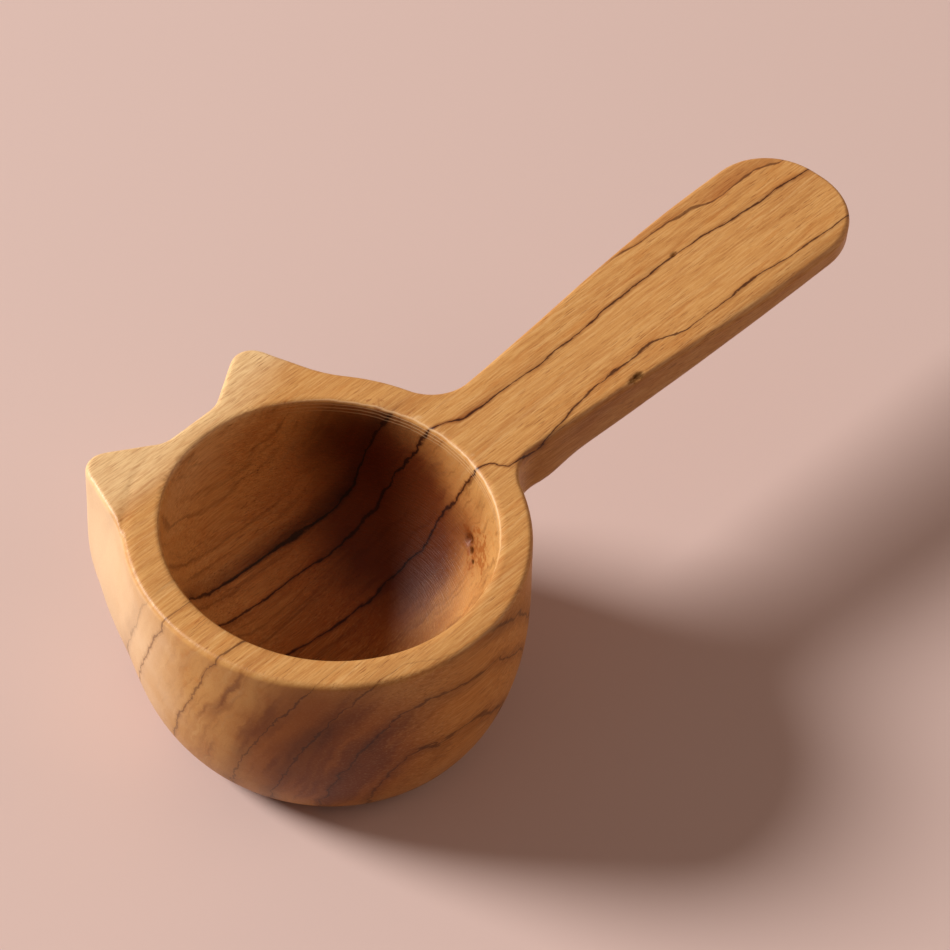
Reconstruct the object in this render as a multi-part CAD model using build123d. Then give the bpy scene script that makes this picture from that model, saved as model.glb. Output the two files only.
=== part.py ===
from build123d import *
import math
import os

os.makedirs("parts", exist_ok=True)

# Driving dimensions of the scoop, in millimetres.
# The origin is on the table under the bowl's middle, +X runs along the handle and +Y points at the ears.
height = 33.0
mouth_length = 43.2
mouth_width = 44.8
rim_wall = 4.35
floor_thickness = 5.1
foot_length = 36.0
foot_width = 36.6
turn_height = 20.0
belly = 0.4

# Bowl details: the outside sits a little off the mouth's middle, the cavity's wall is upright at first,
# a bevel runs round inside the mouth and the outer edge is worn
body_shift = 0.4
cavity_straight = 5.0
rim_bevel = 0.35
rim_round = 0.8

# The two ears: how far the tips stand out from the wall, and how deep the valley between them is cut.
# Places are given beside and along a middle line that is turned a little from +Y, in degrees.
ears_turn = 1.4
ear_rise = 4.85
ear_lean = 0.2
ear_apex_side = 14.6
ear_foot_inset = 3.95
ear_foot_out = 10.0
valley_side = 4.6
valley_dip = 1.45
ear_tip_round = 3.0
ear_foot_round = 18.0
valley_round = 4.0

# How the ears fade lower down: their tips draw in, their flanks fill out and the foot reaches towards them
ear_draw = 0.4
flank_fill = 1.2
flank_fill_spread = 5.0
foot_bulge = 3.0

# The handle, flush with the rim, wider and thinner towards its end, which slants and bows a little.
# Its lengths are the whole reach from the bowl's wall, the short neck and the straight part of the grip.
handle_reach = 69.95
handle_offset = -1.87
neck_run = 4.05
neck_width = 14.4
neck_thickness = 8.2
grip_run = 14.9
grip_width = 21.3
grip_thickness = 4.5
end_bulge = 0.25
end_slant = -0.25
handle_under_round = 1.7
joint_round = 6.5

# The rounding of the handle's two end corners as shares of the grip's width, and how the neck flares
near_corner_share = 0.48
far_corner_share = 0.45
neck_flare_share = 0.055

# Counts that shape the carved lower wall, and the overrun of every cut
outline_points = 96
lower_steps = 5
upper_steps = 3
cut_overrun = 1.0

# Half sizes and places that several features use
body_half_length = mouth_length / 2 + rim_wall
body_half_width = mouth_width / 2 + rim_wall
cavity_half_length = mouth_length / 2 - rim_bevel
cavity_half_width = mouth_width / 2 - rim_bevel
ear_apex_out = body_half_width + ear_rise
ear_foot_side = body_half_length - ear_foot_inset
valley_out = body_half_width - valley_dip
neck_place = body_half_length + neck_run
handle_end = body_half_length + handle_reach
grip_place = handle_end - grip_run


def ear_frame(side, out):
    """A point given beside and along the ears' middle line, in the scoop's own frame."""
    turn = math.radians(ears_turn)
    return (side * math.cos(turn) - out * math.sin(turn), side * math.sin(turn) + out * math.cos(turn))


def rim_outline():
    """The bowl's outer edge from above, a round head with two ears, sawn as an upright block."""
    tips = [ear_frame(side * ear_apex_side, ear_apex_out - side * ear_lean) for side in (-1, 1)]
    corners = [ear_frame(side * valley_side, valley_out) for side in (-1, 1)]
    feet = [ear_frame(side * ear_foot_side, ear_foot_out) for side in (-1, 1)]
    outline = Pos(0, body_shift) * Ellipse(body_half_length, body_half_width)
    outline += make_face(Polyline(feet[0], *tips, feet[1], close=True))
    outline -= make_face(Polyline(tips[0], *corners, tips[1], close=True))
    block = extrude(outline, height)

    # The upright edges that are softened: ear tips, both corners of the valley, and where a flank
    # runs into the round wall
    for places, radius in ((tips, ear_tip_round), (corners, valley_round), (feet, ear_foot_round)):
        for place in places:
            upright = block.edges().filter_by(Axis.Z)
            nearest = upright.sort_by_distance(Vector(*place, height / 2))[0]
            block = fillet(nearest, radius)
    return block.faces().sort_by(Axis.Z)[-1].outer_wire()


def ellipse_reach(half_length, half_width, angle):
    """How far an oval reaches from its middle in one direction."""
    return 1 / math.hypot(math.cos(angle) / half_length, math.sin(angle) / half_width)


def fade(value):
    """Goes smoothly from 0 to 1 as the value does."""
    value = min(max(value, 0), 1)
    return value * value * (3 - 2 * value)


def wall_section(rim_points, step):
    """One level of the bowl's outside, the foot at step 0. The lower wall is a quarter of an ellipse."""
    lift = math.pi / 2 * min(step / lower_steps, 1)
    above_turn = max(step - lower_steps, 0) / upper_steps
    z = turn_height * (1 - math.cos(lift)) + (height - turn_height) * above_turn
    ears_angle = math.pi / 2 + math.radians(ears_turn)
    flank_angle = math.atan2(ear_apex_side + ear_foot_side, ear_apex_out + ear_foot_out)
    lowered = fade((height - z) / (height - turn_height))
    points = []
    for point in rim_points:
        angle = math.atan2(point.Y, point.X)
        reach = math.hypot(point.X, point.Y)
        off_ears = math.remainder(angle - ears_angle, 2 * math.pi)

        # Lower down the ears draw in, the wall swells a little and the hollow beside each ear fills out
        stands_out = max(reach - ellipse_reach(body_half_length, body_half_width, angle), 0)
        reach -= ear_draw * lowered * stands_out / ear_rise
        beside_flank = (abs(off_ears) - flank_angle) * body_half_width / flank_fill_spread
        reach += lowered * (belly + flank_fill * math.exp(-beside_flank ** 2))
        drawn_in = math.sqrt(1 - (1 - min(z / turn_height, 1)) ** 2)
        foot_reach = ellipse_reach(foot_length / 2, foot_width / 2, angle)
        foot_reach += foot_bulge * max(math.cos(off_ears), 0) ** 2
        here = foot_reach + (reach - foot_reach) * drawn_in
        points.append(Vector(math.cos(angle) * here, math.sin(angle) * here, z))
    even = [float(number) for number in range(outline_points + 1)]
    return make_face(Edge.make_spline(points, periodic=True, parameters=even))


def carved_bowl():
    """The bowl's outside: upright below the rim, then drawn in to the foot, the ears fading with it."""
    rim = rim_outline()
    rim_points = [rim @ (number / outline_points) for number in range(outline_points)]
    return loft([wall_section(rim_points, step) for step in range(lower_steps + upper_steps + 1)])


def cavity():
    """The hollow that holds the measure: a round floor under a short upright wall, slightly oval."""
    wall_z = height - cavity_straight
    top_z = height + cut_overrun
    profile = [
        Line((0, floor_thickness), (0, top_z)),
        Line((0, top_z), (cavity_half_length, top_z)),
        Line((cavity_half_length, top_z), (cavity_half_length, wall_z)),
        EllipticalCenterArc(
            (0, wall_z), cavity_half_length, wall_z - floor_thickness, start_angle=270, arc_size=90,
        ),
    ]
    turned = revolve(make_face(Plane.XZ * Wire(profile)), Axis.Z)
    return scale(turned, by=(1, cavity_half_width / cavity_half_length, 1))


def handle_outline():
    """The handle from above: it swells from the neck to the grip and ends in a slight bow."""
    neck_half = neck_width / 2
    grip_half = grip_width / 2
    square_end = handle_end - end_bulge

    def side(sign):
        """One long side, from the bowl's middle to the square corner of the end."""
        flare = sign * neck_flare_share
        root = Line((0, sign * neck_half - flare * neck_place), (neck_place, sign * neck_half))
        swell = Spline(
            (neck_place, sign * neck_half), (grip_place, sign * grip_half), tangents=[(1, flare), (1, 0)],
        )
        corner = (square_end + sign * end_slant, sign * grip_half)
        return [root, swell, Line((grip_place, sign * grip_half), corner)]

    far = side(1)
    near = side(-1)
    end = ThreePointArc(far[-1] @ 1, (handle_end, 0), near[-1] @ 1)
    outline = make_face(Wire([*far, end, *near, Line(far[0] @ 0, near[0] @ 0)]))
    for sign, corner_share in ((1, far_corner_share), (-1, near_corner_share)):
        corner = outline.vertices().sort_by_distance(Vector(square_end, sign * grip_half))[0]
        outline = fillet(corner, corner_share * grip_width)
    return Pos(0, handle_offset, height) * outline


def handle_blank():
    """The handle cut to its tapering thickness, with soft edges along its underside."""
    plate = extrude(handle_outline(), neck_thickness, dir=(0, 0, -1))
    under_neck = height - neck_thickness
    under_grip = height - grip_thickness
    waste_z = under_neck - cut_overrun
    beyond = handle_end + cut_overrun
    waste = make_face(Plane.XZ * Wire([
        Spline((neck_place, under_neck), (grip_place, under_grip), tangents=[(1, 0), (1, 0)]),
        Line((grip_place, under_grip), (beyond, under_grip)),
        Line((beyond, under_grip), (beyond, waste_z)),
        Line((beyond, waste_z), (neck_place, waste_z)),
        Line((neck_place, waste_z), (neck_place, under_neck)),
    ]))
    plate -= extrude(Pos(0, grip_width, 0) * waste, 2 * grip_width, dir=(0, -1, 0))

    def is_lower_rim(edge):
        """True along the sides and round the end, but not for a seam that crosses the underside."""
        middle = edge.center()
        beside = abs(middle.Y - handle_offset) > neck_width / 4
        return middle.Z < under_grip + cut_overrun and (beside or middle.X > handle_end - grip_thickness)

    lower_rim = plate.edges().filter_by(is_lower_rim).filter_by(Axis.Z, reverse=True)
    return fillet(lower_rim, handle_under_round)


def carved_scoop():
    """The whole scoop, cut from one block: bowl, ears and handle, hollowed and eased by hand."""
    bowl = carved_bowl()
    whole = bowl + handle_blank()

    def is_joint(edge):
        """True for the edges where the handle's sides and underside leave the bowl's wall."""
        middle = edge.center()
        inside = bowl.is_inside(middle + Vector(-cut_overrun / 2, 0, 0))
        below_rim = 0 < height - middle.Z < neck_thickness + cut_overrun
        near_wall = body_half_length / 2 < middle.X < body_half_length + cut_overrun
        return edge.geom_type != GeomType.LINE and inside and below_rim and near_wall

    joint = [edge for edge in whole.edges() if is_joint(edge)]
    whole = fillet(joint, joint_round) - cavity()

    # The rim's outer edge, round the ears and the handle, is worn; the mouth's edge has a small bevel
    rim_face = whole.faces().filter_by(Plane.XY).sort_by(Axis.Z)[-1]
    whole = fillet(rim_face.outer_wire().edges(), rim_round)
    rim_face = whole.faces().filter_by(Plane.XY).sort_by(Axis.Z)[-1]
    return chamfer(rim_face.inner_wires()[0].edges(), rim_bevel)


scoop = carved_scoop()
export_step(scoop, "parts/carved_scoop.step")

# How much the bowl holds when it is filled level with the rim
cubic_mm_per_ml = 1000
level_fill = cavity() & Pos(0, 0, height / 2) * Box(mouth_length, mouth_width, height)
print("holds", round(level_fill.volume / cubic_mm_per_ml, 1), "ml")
print("wood", round(scoop.volume / cubic_mm_per_ml, 1), "ml")
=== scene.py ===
import math

import bmesh
import bpy
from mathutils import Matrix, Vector, noise


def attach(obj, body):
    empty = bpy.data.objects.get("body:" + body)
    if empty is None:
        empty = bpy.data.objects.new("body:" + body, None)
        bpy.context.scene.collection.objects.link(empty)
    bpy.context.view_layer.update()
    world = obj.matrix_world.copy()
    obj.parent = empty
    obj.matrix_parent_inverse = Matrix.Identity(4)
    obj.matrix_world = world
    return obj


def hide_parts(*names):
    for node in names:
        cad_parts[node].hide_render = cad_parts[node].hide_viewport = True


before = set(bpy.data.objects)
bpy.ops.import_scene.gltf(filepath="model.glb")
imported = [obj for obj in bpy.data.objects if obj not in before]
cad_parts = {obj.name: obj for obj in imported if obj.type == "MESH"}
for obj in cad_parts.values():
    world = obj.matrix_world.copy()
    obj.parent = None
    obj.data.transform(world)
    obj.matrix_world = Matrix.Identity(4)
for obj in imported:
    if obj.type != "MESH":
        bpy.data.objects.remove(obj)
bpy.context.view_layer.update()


# Carved scoop: bowl, two ears and handle cut from one block of teak. The bowl is bored with a round cutter,
# the outside is sawn and sanded by hand, and its edges are eased with a sander, so they run a little uneven.
MM = 0.001
RIM_HEIGHT = 33.0 * MM
MOUTH_RADIUS = 22.0 * MM
RIM_WALL = 4.35 * MM
FLAT_FOOT = 0.5 * MM
MERGE_WITHIN = 0.001 * MM
SLIVER = 0.02 * MM
COARSEST_EDGE = 0.95 * MM
EDGE_AT_PITS = 0.25 * MM

# Open pits where the wood parted as it dried: three at a small knot in the hollow, a void at the handle's
# near edge, and a tiny one on a growth line. Each has its middle, how far it reaches along the fibres and
# across them, and how it goes in, in millimetres. Out to a few times that reach the mesh is a finer one.
PITS = (
    (Vector((18.9, -7.3, 20.8)), 0.60, 0.75, Vector((0.50, -0.17, -0.17))),
    (Vector((18.5, -8.5, 20.0)), 0.50, 0.50, Vector((0.30, -0.11, -0.10))),
    (Vector((17.7, -9.5, 19.2)), 0.45, 0.35, Vector((0.18, -0.07, -0.06))),
    (Vector((47.6, -9.9, 32.8)), 1.00, 0.46, Vector((0.0, 0.10, -0.34))),
    (Vector((68.6, 1.95, 33.0)), 0.55, 0.30, Vector((0.0, 0.0, -0.22))),
)
PIT_SURROUND = 3.0


def near_a_pit(point):
    """Whether a point lies in or beside one of the open pits."""
    return any((point / MM - middle).length < PIT_SURROUND * max(along_fibres, across_them)
               for middle, along_fibres, across_them, inwards in PITS)


def split_edges(mesh, longest, rounds, wanted):
    """Halves the edges in one region of a mesh till none there is longer than it should be."""
    for _ in range(rounds):
        long_edges = [edge for edge in mesh.edges if edge.calc_length() > longest
                      and wanted((edge.verts[0].co + edge.verts[1].co) / 2)]
        bmesh.ops.subdivide_edges(mesh, edges=long_edges, cuts=1, use_single_edge=True)
        bmesh.ops.triangulate(mesh, faces=[face for face in mesh.faces if len(face.verts) > 3])


def share(value):
    """A value kept between none and all."""
    return min(max(value, 0.0), 1.0)


scoop_mesh = bpy.data.meshes.new("wooden_scoop")
carving = bmesh.new()
carving.from_mesh(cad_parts["carved_scoop"].data)
bmesh.ops.remove_doubles(carving, verts=carving.verts, dist=MERGE_WITHIN)
bmesh.ops.dissolve_degenerate(carving, edges=carving.edges, dist=SLIVER)
split_edges(carving, COARSEST_EDGE, rounds=8, wanted=lambda point: True)
split_edges(carving, EDGE_AT_PITS, rounds=2, wanted=near_a_pit)
carving.normal_update()

# Hand work. Sanding leaves the surface a little uneven, over some millimetres, but the foot stays flat
SANDING_DEPTH = 0.08 * MM
SANDING_LENGTH = 9.0 * MM

# The rim's outer edge is sanded into a soft roll, most at the front left, and it ends short of the handle
RIM_ROLL_WIDTH = 1.5 * MM
RIM_ROLL_DROP = 0.3 * MM
RIM_ROLL_OUTER_LIMIT = RIM_WALL + 0.3 * MM
RIM_ROLL_LAST_X = 12.0 * MM
RIM_ROLL_SIDE = math.radians(-165.0)
RIM_ROLL_MEAN = 0.1
RIM_ROLL_SWING = 0.95

# So is the near edge of the grip, where the thumb lies; both rolls fade out on the way down
GRIP_ROLL_WIDTH = 2.6 * MM
GRIP_ROLL_DROP = 0.42 * MM
GRIP_NEAR_EDGE = -12.3 * MM
GRIP_START = 50.0 * MM
GRIP_BLEND = 25.0 * MM
ROLL_FADE = 1.0 * MM

# The underside swells a little where the handle leaves the bowl
ROOT_PLACE = Vector((31.0, -8.4, 26.0)) * MM
ROOT_REACH = 4.5 * MM
ROOT_SWELL = Vector((0.0, -0.5, -0.45)) * MM

for vertex in carving.verts:
    point = vertex.co.copy()
    if point.z < FLAT_FOOT:
        continue
    outside = math.hypot(point.x, point.y) - MOUTH_RADIUS
    near_top = share((point.z - RIM_HEIGHT + RIM_ROLL_WIDTH) / ROLL_FADE)
    sanded = SANDING_DEPTH * (0.5 - 0.5 * noise.noise(point / SANDING_LENGTH))

    angle = math.atan2(point.y, point.x)
    rim_share = share(RIM_ROLL_MEAN + RIM_ROLL_SWING * math.cos(angle - RIM_ROLL_SIDE))
    from_rim_edge = share(1.0 - (RIM_WALL - outside) / RIM_ROLL_WIDTH)
    if outside < RIM_ROLL_OUTER_LIMIT and point.x < RIM_ROLL_LAST_X:
        vertex.co.z -= RIM_ROLL_DROP * rim_share * near_top * from_rim_edge ** 2

    grip_share = share((point.x - GRIP_START) / GRIP_BLEND)
    from_grip_edge = share(1.0 - (point.y - GRIP_NEAR_EDGE) / GRIP_ROLL_WIDTH)
    vertex.co.z -= GRIP_ROLL_DROP * grip_share * near_top * from_grip_edge ** 2

    vertex.co += ROOT_SWELL * math.exp(-((point - ROOT_PLACE).length / ROOT_REACH) ** 2)
    vertex.co -= vertex.normal * sanded

    for middle, along_fibres, across_them, inwards in PITS:
        offset = point / MM - middle
        reach = math.hypot(offset.x / along_fibres, math.hypot(offset.y, offset.z) / across_them)
        vertex.co += inwards * MM * math.exp(-reach ** 2)

    # The sander took the whole top down to one level
    vertex.co.z = min(vertex.co.z, RIM_HEIGHT)

for face in carving.faces:
    face.smooth = True
carving.to_mesh(scoop_mesh)
carving.free()
scoop = bpy.data.objects.new("wooden_scoop", scoop_mesh)
bpy.context.collection.objects.link(scoop)


def linear(hex_colour):
    """An sRGB colour, written in hex, as a linear one."""
    channels = [int(hex_colour[start:start + 2], 16) / 255.0 for start in (1, 3, 5)]
    return [c / 12.92 if c <= 0.04045 else ((c + 0.055) / 1.055) ** 2.4 for c in channels] + [1.0]


def node(tree, kind, inputs, output=0, **settings):
    """Adds a node, links or sets its inputs, and returns one of its outputs.

    Inputs go by name or by number. Math and VectorMath take theirs in order, MapRange takes the value, the
    range it comes from and the range it goes to, and a Mix of colours takes the upper one's strength in 0,
    the lower one in 6 and the upper one in 7, and gives its result in 2.
    """
    new = tree.nodes.new("ShaderNode" + kind)
    for name, value in settings.items():
        setattr(new, name, value)
    for slot, value in inputs.items():
        if isinstance(value, bpy.types.NodeSocket):
            tree.links.new(value, new.inputs[slot])
        else:
            new.inputs[slot].default_value = value
    return new.outputs[output]


# Oiled teak, sanded to a satin: golden brown with fine fibres along the handle, short pores, ragged dark
# growth lines, pale sapwood at the ears and a red-brown heart in the bowl, with painted light and shade laid
# in:
# shadow in the hollow, shade at the front left and deep in the hollow, fill light at the front right, a sheen
# on the left walls and highlights on the rings. Its lengths are in millimetres.
teak = bpy.data.materials.new("oiled_teak_sanded")
teak.use_nodes = True
wood = teak.node_tree
coordinates = node(wood, "TexCoord", {}, output="Object")
place = node(wood, "VectorMath", {0: coordinates, 1: (1.0 / MM,) * 3}, operation="MULTIPLY")
along, sideways, height = node(wood, "SeparateXYZ", {0: place}).node.outputs

# Fibres and pores show on the long sides of the wood and hardly at all where its ends are sanded
facing = node(wood, "TexCoord", {}, output="Normal")
end_facing = node(wood, "SeparateXYZ", {0: facing}, output="X")
end_facing = node(wood, "Math", {0: end_facing}, operation="ABSOLUTE")
fineness = node(wood, "MapRange", {0: end_facing, 1: 0.3, 2: 0.85, 3: 1.0, 4: 0.15})

# The hollow, inside the cutter's circle; the dark regions end below the rim, whose top stays golden
GOLDEN_DOWN_TO = 32.75
DARK_UP_TO = 32.2
WALL_MIDDLE = 23.2
HOLLOW_WALL = 22.4
flat_place = node(wood, "VectorMath", {0: place, 1: (1.0, 1.0, 0.0)}, operation="MULTIPLY")
from_axis = node(wood, "VectorMath", {0: flat_place}, output="Value", operation="LENGTH")
below_rim = node(wood, "MapRange", {0: height, 1: GOLDEN_DOWN_TO, 2: DARK_UP_TO},
                 interpolation_type="SMOOTHSTEP")
in_hollow = node(wood, "MapRange", {0: from_axis, 1: WALL_MIDDLE, 2: HOLLOW_WALL})
in_hollow = node(wood, "Math", {0: in_hollow, 1: below_rim}, operation="MULTIPLY")
on_outside = node(wood, "Math", {0: below_rim, 1: in_hollow}, operation="SUBTRACT")

# The layers of growth lean: a layer that is level with the rim's middle lies further back deeper in the bowl
LAYER_LEAN = 0.376
layer = node(wood, "VectorMath", {0: place, 1: (0.0, 1.0, LAYER_LEAN)}, output="Value",
             operation="DOT_PRODUCT")
cross = node(wood, "VectorMath", {0: place, 1: (0.0, -LAYER_LEAN, 1.0)}, output="Value",
             operation="DOT_PRODUCT")

# Patterns that lie free in the wood: name, length along the fibres, width across them, detail, and where the
# pattern starts. Fibres, pores and dust are drawn a little coarser than real ones, so that they show
ROUGHNESS_OF_PATTERNS = 0.58
patterns = {}
for name, length, width, detail, start in (
    ("raggedness", 9.0, 2.6, 6.0, 0.0),
    ("drift", 60.0, 30.0, 2.0, 4.0),
    ("clouds", 22.0, 9.0, 3.0, 17.0),
    ("flecks", 9.0, 1.6, 4.0, 29.0),
    ("thickness", 5.0, 2.5, 3.0, 31.0),
    ("fibres", 5.0, 0.24, 3.0, 41.0),
    ("pores", 2.4, 0.17, 1.0, 53.0),
    ("pore_places", 18.0, 6.0, 2.0, 67.0),
    ("hatching", 2.6, 0.3, 2.0, 71.0),
    ("mottle", 1.6, 1.1, 3.0, 79.0),
    ("dust", 0.35, 0.2, 2.0, 83.0),
):
    scaled = node(wood, "VectorMath",
                  {0: place, 1: (1.0 / length, 1.0 / width, 1.0 / width), 2: (start,) * 3},
                  operation="MULTIPLY_ADD")
    patterns[name] = node(wood, "TexNoise", {"Vector": scaled, "Scale": 1.0, "Detail": detail,
                                             "Roughness": ROUGHNESS_OF_PATTERNS})

# Patterns that follow the layers, which wander and are ragged
RAGGED_REACH = 2.2
DRIFT_REACH = 6.0
ragged_layer = node(wood, "Math", {0: patterns["raggedness"], 1: RAGGED_REACH, 2: layer},
                    operation="MULTIPLY_ADD")
ragged_layer = node(wood, "Math", {0: ragged_layer, 1: RAGGED_REACH / 2}, operation="SUBTRACT")
drifting_layer = node(wood, "Math", {0: patterns["drift"], 1: DRIFT_REACH, 2: ragged_layer},
                      operation="MULTIPLY_ADD")
grain = node(wood, "CombineXYZ", {0: along, 1: drifting_layer, 2: cross})
for name, length, layer_width, cross_width, detail, start in (
    ("broad_bands", 80.0, 3.6, 30.0, 3.0, 0.0),
    ("thin_bands", 50.0, 0.9, 10.0, 4.0, 13.0),
):
    scaled = node(wood, "VectorMath",
                  {0: grain, 1: (1.0 / length, 1.0 / layer_width, 1.0 / cross_width), 2: (start,) * 3},
                  operation="MULTIPLY_ADD")
    patterns[name] = node(wood, "TexNoise", {"Vector": scaled, "Scale": 1.0, "Detail": detail,
                                             "Roughness": ROUGHNESS_OF_PATTERNS})

# Regions of the block, each a direction in which the wood turns paler: sapwood at the ears, and the left,
# where pale wood carries a painted sheen on the walls that face the lamp
for name, direction, cloudiness in (
    ("sapwood", (-0.12, 0.98, 0.0), 8.0),
    ("pale_sheen_left", (-0.85, 0.50, 0.0), 6.0),
):
    reached = node(wood, "VectorMath", {0: place, 1: direction}, output="Value", operation="DOT_PRODUCT")
    patterns[name] = node(wood, "Math", {0: patterns["clouds"], 1: cloudiness, 2: reached},
                          operation="MULTIPLY_ADD")

# Regions of the block round a middle point, with cloudy and streaky limits: the dark heart deep in the hollow
# and its upper end, both deepened with painted shadow where the lamp's shadow falls in the hollow, the
# mouth's far edge where the cutter tore it, the bottom of the hollow with painted shade, a darker patch at
# the front left deepened with painted shade, painted fill light at the front right, and the surroundings of
# the knot
for name, middle, cloudiness, streakiness in (
    ("heart_and_shadow", (15.5, 4.0, 16.5), 7.0, 5.0),
    ("heart_top_and_shadow", (18.5, 11.0, 26.0), 4.0, 3.0),
    ("torn_edge", (18.6, 11.0, 32.6), 2.0, 0.0),
    ("painted_depth_shade", (2.0, -3.0, 7.0), 6.0, 7.0),
    ("front_dark_and_shade", (-17.6, -18.8, 18.0), 8.0, 6.0),
    ("painted_fill_right", (6.0, -26.0, 18.0), 8.0, 4.0),
    ("knot", (18.6, -9.4, 21.0), 4.0, 0.0),
):
    away = node(wood, "VectorMath", {0: place, 1: middle}, output="Value", operation="DISTANCE")
    away = node(wood, "Math", {0: patterns["clouds"], 1: cloudiness, 2: away}, operation="MULTIPLY_ADD")
    away = node(wood, "Math", {0: patterns["thin_bands"], 1: streakiness, 2: away}, operation="MULTIPLY_ADD")
    patterns[name] = node(wood, "Math", {0: away, 1: 0.5 * (cloudiness + streakiness)}, operation="SUBTRACT")

# Patterns that come out more in one region: the region, where that starts and ends, and by how much
for name, source, region, start, full, gain in (
    ("knot_mottles", "mottle", "knot", 6.5, 2.0, 0.3),
    ("torn_mottles", "mottle", "torn_edge", 5.0, 0.5, 0.3),
    ("front_bands_and_shade", "broad_bands", "front_dark_and_shade", 17.0, 7.0, 0.24),
    ("sapwood_hatching", "hatching", "sapwood", 14.0, 26.0, 0.08),
):
    closeness = node(wood, "MapRange", {0: patterns[region], 1: start, 2: full, 3: 0.0, 4: gain})
    patterns[name] = node(wood, "Math", {0: patterns[source], 1: closeness}, operation="ADD")

# Tints laid over the ground colour: pattern, where it starts and ends, how strong it gets, colour, and what
# limits it
everywhere = 1.0
colour = linear("#D69D5A")
for name, start, full, strength, tint, limit in (
    ("broad_bands", 0.44, 0.68, 0.60, "#BE8044", everywhere),
    ("thin_bands", 0.50, 0.72, 0.42, "#AE7034", everywhere),
    ("thin_bands", 0.46, 0.30, 0.42, "#E4B678", everywhere),
    ("flecks", 0.50, 0.74, 0.42, "#CA8038", everywhere),
    ("sapwood", 23.0, 30.0, 0.90, "#F4CE96", everywhere),
    # Painted fill light: the front right wall is drawn lighter and warmer
    ("painted_fill_right", 22.0, 10.0, 0.60, "#DE984E", on_outside),
    # Darker wood and bands at the front left, deepened with painted shade on the wall turned from the lamp
    ("front_dark_and_shade", 17.0, 8.0, 0.88, "#A86022", on_outside),
    ("front_bands_and_shade", 0.58, 0.82, 0.76, "#72340A", on_outside),
    # Pale wood with a painted sheen on the left walls, which face the lamp
    ("pale_sheen_left", 23.5, 31.0, 0.95, "#EFC99E", below_rim),
    # Painted shade: darker and redder deep in the hollow
    ("painted_depth_shade", 17.0, 7.0, 0.60, "#A45E14", in_hollow),
    ("fibres", 0.50, 0.30, 0.25, "#EABC80", fineness),
    ("dust", 0.55, 0.80, 0.14, "#EDC794", fineness),
    ("sapwood_hatching", 0.52, 0.72, 0.28, "#B06C2C", fineness),
    ("knot_mottles", 0.72, 0.86, 0.75, "#A45A1C", below_rim),
    # Dark heart, deepened with painted shadow where the lamp's shadow falls in the hollow
    ("heart_and_shadow", 21.0, 10.0, 0.62, "#8E4614", in_hollow),
    ("heart_and_shadow", 14.5, 7.0, 0.92, "#5C2204", in_hollow),
    ("heart_top_and_shadow", 13.0, 2.0, 0.92, "#4E1804", in_hollow),
    ("thin_bands", 0.50, 0.70, 0.30, "#4A1E06", in_hollow),
    ("torn_mottles", 0.76, 0.90, 0.50, "#8A3C16", everywhere),
):
    amount = node(wood, "MapRange", {0: patterns[name], 1: start, 2: full, 3: 0.0, 4: strength},
                  interpolation_type="SMOOTHSTEP")
    amount = node(wood, "Math", {0: amount, 1: limit}, operation="MULTIPLY")
    colour = node(wood, "Mix", {0: amount, 6: colour, 7: linear(tint)}, output=2, data_type="RGBA")

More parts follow.
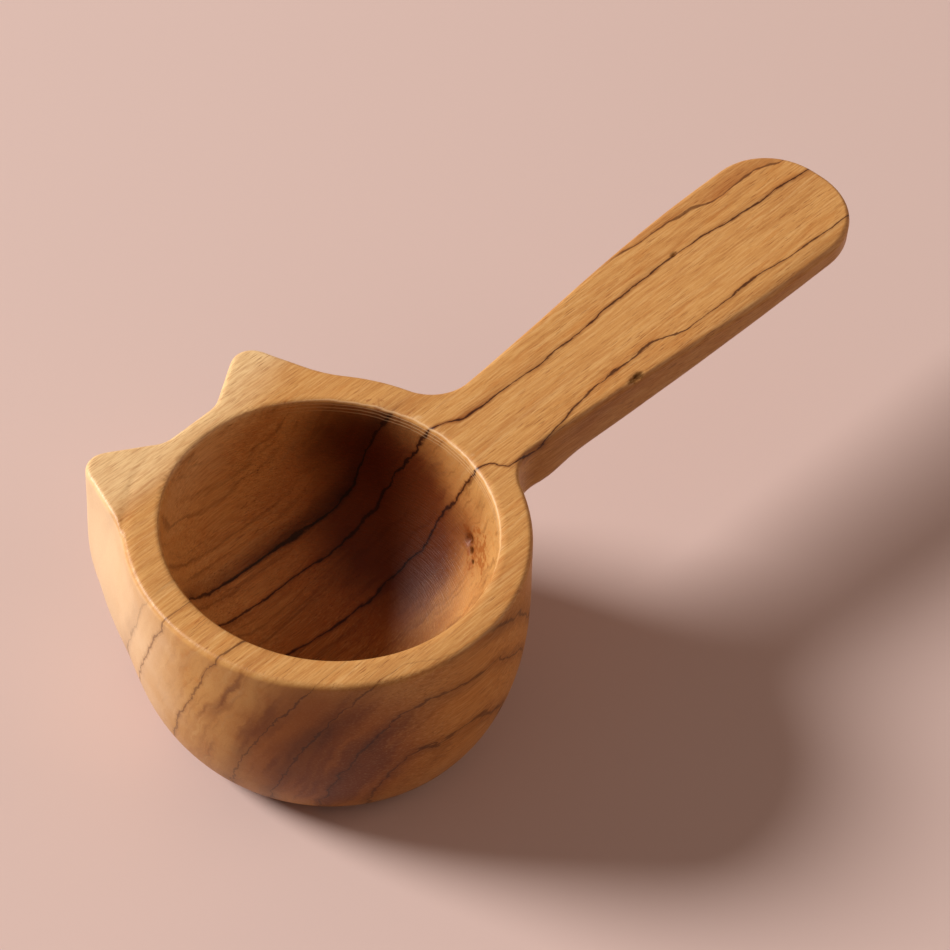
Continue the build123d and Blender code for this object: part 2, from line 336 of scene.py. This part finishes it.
# Growth lines. Each follows one layer, shows from its first to its last place along the fibres, and swings
# across them: pairs of a place and a shift. Its dark core has a half width and a strength, a brown shade
# reaches above and below the core, and a share of it shows on the rim's top.
SWINGS_FROM = -30.0
SWINGS_TO = 100.0
SWING_REACH = 4.0
FADING_LENGTH = 6.0
SOLID_SHARE_OF_CORE = 0.3
growth_lines = (
    dict(layer=15.0, first=-40, last=110, half_width=0.17, strength=0.88, on_rim=1.0,
         shade_above=0.8, shade_below=0.7, core_tint="#603C30", shade_tint="#A6805F",
         swings=((-26, 0.6), (-8, -0.1), (4, -0.5), (15, -1.3), (20, 0.1), (26, -1.4), (44, -1.9), (56, -1.1),
                 (68, -0.6), (76, -1.2), (84, -1.9), (96, -2.3))),
    dict(layer=6.0, first=-40, last=110, half_width=0.14, strength=0.85, on_rim=1.0,
         shade_above=0.6, shade_below=0.8, core_tint="#603C30", shade_tint="#A6805F",
         swings=((-26, 0.6), (-3, -0.1), (8, -1.1), (17, -1.0), (20.5, 0.1), (24, -2.2), (30, -2.6),
                 (42, -0.7), (53, -0.8), (60, -2.3), (71, -2.2), (83, -3.1), (96, -3.5))),
    dict(layer=19.4, first=-27, last=24, half_width=0.21, strength=0.95, on_rim=0.3,
         shade_above=3.6, shade_below=1.0, core_tint="#562A1E", shade_tint="#703C2A",
         swings=((-26, 0.3), (-5, 0.2), (7, -0.6), (15, -1.2), (19, 1.2), (30, 0.5))),
    dict(layer=19.4, first=58, last=110, half_width=0.20, strength=0.70, on_rim=1.0,
         shade_above=5.0, shade_below=0.4, core_tint="#6D4E40", shade_tint="#C08C64",
         swings=((50, 0.0), (62, 0.0), (72, -0.4), (77, -0.6), (82, -1.7), (88, -1.8), (96, -3.4))),
    dict(layer=-4.5, first=-40, last=6, half_width=0.14, strength=0.60, on_rim=0.3,
         shade_above=3.0, shade_below=1.2, core_tint="#5A4145", shade_tint="#80655A",
         swings=((-26, 1.2), (-18, -0.4), (0, 0.6), (20, 0.0))),
    dict(layer=-10.0, first=-40, last=30, half_width=0.14, strength=0.55, on_rim=0.3,
         shade_above=2.6, shade_below=1.6, core_tint="#5A4145", shade_tint="#80655A",
         swings=((-24, 1.2), (-16, 0.6), (-10, 0.0), (-2, -3.4), (10, -3.8))),
    dict(layer=-15.0, first=-40, last=30, half_width=0.12, strength=0.55, on_rim=0.3,
         shade_above=0.9, shade_below=1.4, core_tint="#5A4145", shade_tint="#987C6A",
         swings=((-22, 0.4), (-14, 0.8), (-8, -0.2), (0, -1.6), (12, -2.0))),
    dict(layer=-19.5, first=-40, last=30, half_width=0.12, strength=0.55, on_rim=0.3,
         shade_above=0.9, shade_below=1.1, core_tint="#5A4145", shade_tint="#987C6A",
         swings=((-20, 0.6), (-11, 1.2), (-4, -0.6), (8, -0.8), (20, 0.4))),
)
stretch = node(wood, "MapRange", {0: along, 1: SWINGS_FROM, 2: SWINGS_TO})
swelling = node(wood, "MapRange", {0: patterns["thickness"], 1: 0.35, 2: 0.68, 3: 0.5, 4: 1.9})
widening = node(wood, "MapRange", {0: in_hollow, 3: 1.0, 4: 1.35})
swelling = node(wood, "Math", {0: swelling, 1: widening}, operation="MULTIPLY")
# Growth lines show less on the left walls, under their painted sheen
off_pale_sheen_left = node(wood, "MapRange", {0: patterns["pale_sheen_left"], 1: 14.0, 2: 24.0, 3: 1.0, 4: 0.55})
for line in growth_lines:
    swing = node(wood, "FloatCurve", {1: stretch})
    curve = swing.node.mapping.curves[0]
    spots = [((x - SWINGS_FROM) / (SWINGS_TO - SWINGS_FROM), 0.5 + shift / (2.0 * SWING_REACH))
             for x, shift in line["swings"]]
    curve.points[0].location = (0.0, spots[0][1])
    curve.points[-1].location = (1.0, spots[-1][1])
    for spot in spots:
        curve.points.new(*spot)
    swing.node.mapping.update()
    line_layer = node(wood, "Math", {0: swing, 1: 2.0 * SWING_REACH, 2: line["layer"] - SWING_REACH},
                      operation="MULTIPLY_ADD")
    off_line = node(wood, "Math", {0: ragged_layer, 1: line_layer}, operation="SUBTRACT")
    to_line = node(wood, "Math", {0: off_line}, operation="ABSOLUTE")

    begun = node(wood, "MapRange", {0: along, 1: line["first"], 2: line["first"] + FADING_LENGTH})
    not_ended = node(wood, "MapRange", {0: along, 1: line["last"], 2: line["last"] - FADING_LENGTH})
    shown = node(wood, "MapRange", {0: below_rim, 1: 0.0, 2: 1.0, 3: line["on_rim"], 4: 1.0})
    for limit in (begun, not_ended, off_pale_sheen_left):
        shown = node(wood, "Math", {0: shown, 1: limit}, operation="MULTIPLY")

    strength = line["strength"]
    reach = node(wood, "Math", {0: swelling, 1: line["half_width"]}, operation="MULTIPLY")
    solid = node(wood, "Math", {0: reach, 1: SOLID_SHARE_OF_CORE}, operation="MULTIPLY")
    core = node(wood, "MapRange", {0: to_line, 1: solid, 2: reach, 3: strength, 4: 0.0},
                interpolation_type="SMOOTHSTEP")
    core = node(wood, "Math", {0: core, 1: shown}, operation="MULTIPLY")

    shade = node(wood, "MapRange", {0: off_line, 1: 0.0, 2: line["shade_above"], 3: 1.0, 4: 0.0},
                 interpolation_type="SMOOTHSTEP")
    below = node(wood, "MapRange", {0: off_line, 1: -line["shade_below"], 2: 0.0},
                 interpolation_type="SMOOTHSTEP")
    patchy = node(wood, "MapRange", {0: patterns["clouds"], 1: 0.35, 2: 0.65,
                                     3: 0.25 * strength, 4: strength})
    for limit in (below, patchy, shown):
        shade = node(wood, "Math", {0: shade, 1: limit}, operation="MULTIPLY")
    for amount, tint in ((shade, line["shade_tint"]), (core, line["core_tint"])):
        colour = node(wood, "Mix", {0: amount, 6: colour, 7: linear(tint)}, output=2, data_type="RGBA",
                      blend_type="MULTIPLY")

# Dark fibres, dust and short pores
pore_share = node(wood, "MapRange", {0: patterns["pore_places"], 1: 0.35, 2: 0.7, 3: 0.25, 4: 0.9})
pore_depth = node(wood, "MapRange", {0: patterns["pores"], 1: 0.58, 2: 0.74}, interpolation_type="SMOOTHSTEP")
patterns["pore_depth"] = node(wood, "Math", {0: pore_depth, 1: pore_share}, operation="MULTIPLY")
for name, start, full, strength, tint in (
    ("fibres", 0.42, 0.72, 0.32, "#C08050"),
    ("dust", 0.45, 0.20, 0.14, "#C08A5C"),
    ("pore_depth", 0.0, 1.0, 0.75, "#9A6238"),
):
    amount = node(wood, "MapRange", {0: patterns[name], 1: start, 2: full, 3: 0.0, 4: strength})
    amount = node(wood, "Math", {0: amount, 1: fineness}, operation="MULTIPLY")
    colour = node(wood, "Mix", {0: amount, 6: colour, 7: linear(tint)}, output=2, data_type="RGBA",
                  blend_type="MULTIPLY")

# Darker in the pits, with a mottled edge, and dull there
PIT_TINT = "#3A1A0A"
dullness = patterns["fibres"]
for middle, along_fibres, across_them, inwards in PITS:
    narrowing = (1.0 / along_fibres, 1.0 / across_them, 1.0 / across_them)
    offset = node(wood, "VectorMath", {0: place, 1: middle}, operation="SUBTRACT")
    offset = node(wood, "VectorMath", {0: offset, 1: narrowing}, operation="MULTIPLY")
    away = node(wood, "VectorMath", {0: offset}, output="Value", operation="LENGTH")
    away = node(wood, "Math", {0: patterns["mottle"], 1: 3.0, 2: away}, operation="MULTIPLY_ADD")
    pit_darkening = node(wood, "MapRange", {0: away, 1: 3.1, 2: 2.0, 3: 0.0, 4: 0.85}, interpolation_type="SMOOTHSTEP")
    colour = node(wood, "Mix", {0: pit_darkening, 6: colour, 7: linear(PIT_TINT)}, output=2, data_type="RGBA")
    dullness = node(wood, "Math", {0: pit_darkening, 1: 2.0, 2: dullness}, operation="MULTIPLY_ADD")

# Rings that the cutter left on the hollow's upper wall, towards the handle, with a painted highlight on their
# crests
RING_PITCH = 0.62
RING_HIGHLIGHT_STRENGTH = 0.45
RING_HIGHLIGHT_TINT = "#F4CFA0"
ring_zone = node(wood, "MapRange", {0: from_axis, 1: 22.3, 2: 22.7, 3: 1.0, 4: 0.0})
for source, start, full in ((along, 8.0, 17.0), (height, 30.3, 31.2)):
    reached = node(wood, "MapRange", {0: source, 1: start, 2: full})
    ring_zone = node(wood, "Math", {0: ring_zone, 1: reached}, operation="MULTIPLY")
ring_turns = node(wood, "Math", {0: height, 1: 2.0 * math.pi / RING_PITCH}, operation="MULTIPLY")
ring_turns = node(wood, "Math", {0: patterns["thickness"], 1: 5.0, 2: ring_turns}, operation="MULTIPLY_ADD")
ring_wave = node(wood, "Math", {0: ring_turns}, operation="SINE")
ring_crest = node(wood, "MapRange", {0: ring_wave, 1: 0.2, 2: 1.0})
rings = node(wood, "Math", {0: ring_crest, 1: ring_zone}, operation="MULTIPLY")
# Painted highlight: the ring crests are drawn pale, as the lamp's gloss on them
painted_ring_highlight = node(wood, "Math", {0: rings, 1: RING_HIGHLIGHT_STRENGTH}, operation="MULTIPLY")
colour = node(wood, "Mix", {0: painted_ring_highlight, 6: colour, 7: linear(RING_HIGHLIGHT_TINT)}, output=2, data_type="RGBA")

# Scratches of the sandpaper, which ran round in the hollow as the cutter did, drawn coarser than real ones
SCRATCHES_PER_RADIAN = 7.0
SCRATCHES_PER_MM = 6.0
turned = node(wood, "Math", {0: sideways, 1: along}, operation="ARCTAN2")
turned = node(wood, "Math", {0: turned, 1: SCRATCHES_PER_RADIAN}, operation="MULTIPLY")
outwards = node(wood, "Math", {0: from_axis, 1: SCRATCHES_PER_MM}, operation="MULTIPLY")
upwards = node(wood, "Math", {0: height, 1: SCRATCHES_PER_MM}, operation="MULTIPLY")
round_place = node(wood, "CombineXYZ", {0: turned, 1: outwards, 2: upwards})
scratches = node(wood, "TexNoise", {"Vector": round_place, "Scale": 1.0, "Detail": 3.0, "Roughness": 0.6})
scratches = node(wood, "Math", {0: scratches, 1: in_hollow}, operation="MULTIPLY")

# The oil's satin is duller on open fibres and gone in the pits. The relief is that of fibres, pores, rings
# and scratches, all too shallow for the mesh
RELIEF_HEIGHT = 0.05 * MM
finish = wood.nodes["Principled BSDF"]
gloss = node(wood, "MapRange", {0: dullness, 1: 0.8, 2: 1.6, 3: 0.32, 4: 0.0})
roughness = node(wood, "Math", {0: dullness, 1: 0.30, 2: 0.30}, operation="MULTIPLY_ADD")
relief = patterns["fibres"]
for source, weight in ((patterns["pore_depth"], -0.8), (patterns["dust"], 0.3)):
    relief = node(wood, "Math", {0: source, 1: weight, 2: relief}, operation="MULTIPLY_ADD")
relief = node(wood, "Math", {0: relief, 1: fineness}, operation="MULTIPLY")
for source, weight in ((rings, 0.8), (scratches, 3.0)):
    relief = node(wood, "Math", {0: source, 1: weight, 2: relief}, operation="MULTIPLY_ADD")
raised = node(wood, "Bump", {"Height": relief, "Strength": 0.5, "Distance": RELIEF_HEIGHT})
wood.links.new(colour, finish.inputs["Base Color"])
wood.links.new(gloss, finish.inputs["Specular IOR Level"])
wood.links.new(roughness, finish.inputs["Roughness"])
wood.links.new(raised, finish.inputs["Normal"])
scoop.data.materials.append(teak)
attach(scoop, "root")
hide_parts("carved_scoop")


# Table top: a plain pale board with a faint warm tint, painted and dull, large enough to fill every view. It
# throws less light back at the wood than its colour would, as a board does in a room that isn't white.
TABLE_REACH = 3.0
TABLE_TINT = "#D8BCB2"
TABLE_TINT_THROWN_BACK = "#9A7866"
table_mesh = bpy.data.meshes.new("table_top")
board = bmesh.new()
bmesh.ops.create_grid(board, x_segments=2, y_segments=2, size=TABLE_REACH)
board.to_mesh(table_mesh)
board.free()
table_top = bpy.data.objects.new("table_top", table_mesh)
bpy.context.collection.objects.link(table_top)
paint = bpy.data.materials.new("matt_painted_board")
paint.use_nodes = True
coat = paint.node_tree
seen = node(coat, "LightPath", {}, output="Is Camera Ray")
mirrored = node(coat, "LightPath", {}, output="Is Glossy Ray")
in_sight = node(coat, "Math", {0: seen, 1: mirrored}, operation="MAXIMUM")
board_colour = node(coat, "Mix", {0: in_sight, 6: linear(TABLE_TINT_THROWN_BACK), 7: linear(TABLE_TINT)},
                    output=2, data_type="RGBA")
paint_finish = coat.nodes["Principled BSDF"]
coat.links.new(board_colour, paint_finish.inputs["Base Color"])
paint_finish.inputs["Roughness"].default_value = 0.8
paint_finish.inputs["Specular IOR Level"].default_value = 0.2
table_top.data.materials.append(paint)


# Light: one large soft lamp behind the ears and to the left, a weak wide one at the front right, and an even
# warm room round them.
for name, to_lamp, distance, width, watts, tint in (
    ("soft_lamp", Vector((-0.438, 0.714, 0.546)), 2.5, 0.87, 86.3, "#FFFFFF"),
    ("weak_fill", Vector((0.66, -0.60, 0.45)), 2.2, 1.6, 9.0, "#FFE2CA"),
):
    lamp_data = bpy.data.lights.new(name, "AREA")
    lamp_data.shape = "DISK"
    lamp_data.size = width
    lamp_data.energy = watts
    lamp_data.color = linear(tint)[:3]
    lamp = bpy.data.objects.new(name, lamp_data)
    lamp.location = to_lamp * distance
    lamp.rotation_euler = to_lamp.to_track_quat("Z", "Y").to_euler()
    bpy.context.collection.objects.link(lamp)

room = bpy.data.worlds.new("pale_room")
room.use_nodes = True
room_light = room.node_tree.nodes["Background"]
room_light.inputs["Color"].default_value = linear("#FFE4D8")
room_light.inputs["Strength"].default_value = 0.18
bpy.context.scene.world = room
bpy.context.scene.view_settings.view_transform = "Standard"


# Camera: a long lens at the front left, 0.46 m from the bowl. It looks down into the hollow and has the whole
# handle in view.
CAMERA_PLACE = (-0.20053, -0.19691, 0.36453)
CAMERA_TURN_DEGREES = (41.178, -2.636, -46.197)
camera_data = bpy.data.cameras.new("photo_camera")
camera_data.lens = 128.84
camera_data.sensor_width = 36.0
camera_data.clip_start = 0.01
camera = bpy.data.objects.new("photo_camera", camera_data)
camera.location = CAMERA_PLACE
camera.rotation_euler = [math.radians(angle) for angle in CAMERA_TURN_DEGREES]
bpy.context.collection.objects.link(camera)
bpy.context.scene.camera = camera
